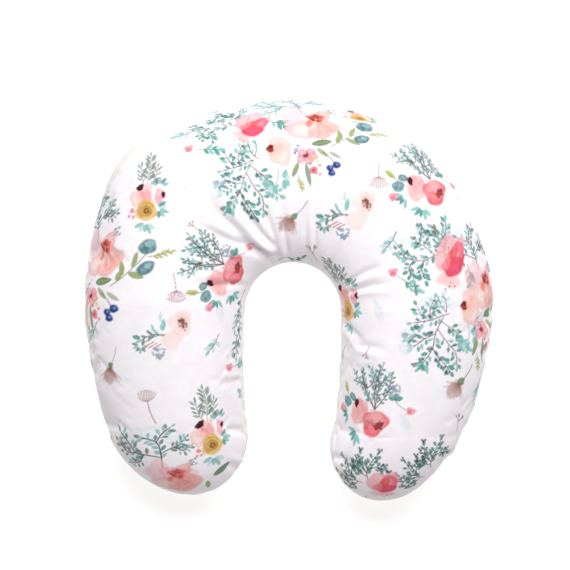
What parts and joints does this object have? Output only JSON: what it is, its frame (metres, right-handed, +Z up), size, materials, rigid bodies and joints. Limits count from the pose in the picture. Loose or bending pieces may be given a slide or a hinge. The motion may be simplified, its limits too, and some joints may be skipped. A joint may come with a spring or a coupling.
{
  "type": "nursing pillow",
  "caption": "U-shaped nursing pillow: a floral printed cotton slipcover with a plain underside and a back zip over a fibre-filled inner pillow.",
  "frame": {"origin": "middle of the pillow's box in plan, on the surface it lies on", "axes": "+Z up, +Y towards the round back of the U, the two arms point to -Y, +X to the right seen from above with the back at the top"},
  "size_m": [0.5308, 0.516, 0.165],
  "materials": {
    "printed_cotton": "soft matt cotton, white with a watercolour flower print in coral, peach, teal, violet and olive",
    "plain_cotton": "soft matt off-white cotton",
    "zip_tape": "woven herringbone tape, off-white",
    "zip_nylon": "satin nylon",
    "slider_enamel": "off-white enamel on die-cast zinc",
    "label_satin": "woven satin, blank",
    "label_fleece": "non-woven label stock, blank",
    "ticking": "white non-woven casing",
    "polyester_fibre": "loose polyester fibre"
  },
  "bodies": {
    "pillow": {"cover_top_panel": "printed_cotton", "cover_bottom_panel": "plain_cotton", "zipper_tape_upper": "zip_tape", "zipper_tape_lower": "zip_tape", "zipper_coil_upper": "zip_nylon", "zipper_coil_lower": "zip_nylon", "zipper_top_stop_upper": "zip_nylon", "zipper_top_stop_lower": "zip_nylon", "zipper_bottom_stop": "zip_nylon", "cover_side_tag": "label_satin", "cover_care_label": "label_satin", "inner_casing_top": "ticking", "inner_casing_bottom": "ticking", "inner_casing_label": "label_fleece", "fibre_fill": "polyester_fibre"},
    "slider": {"zipper_slider": "slider_enamel"},
    "pull_tab": {"zipper_pull_tab": "slider_enamel"}
  },
  "joints": [
    {"name": "zipper_slide", "type": "hinge", "parent": "pillow", "child": "slider", "pos_m": [0, -0.008, 0.08], "axis": [0, 0, -1], "range_deg": [0, 59]},
    {"name": "pull_tab_swing", "type": "hinge", "parent": "slider", "child": "pull_tab", "pos_m": [-0.04161, 0.25472, 0.08], "axis": [0, 0, 1], "range_deg": [0, 170]}
  ]
}
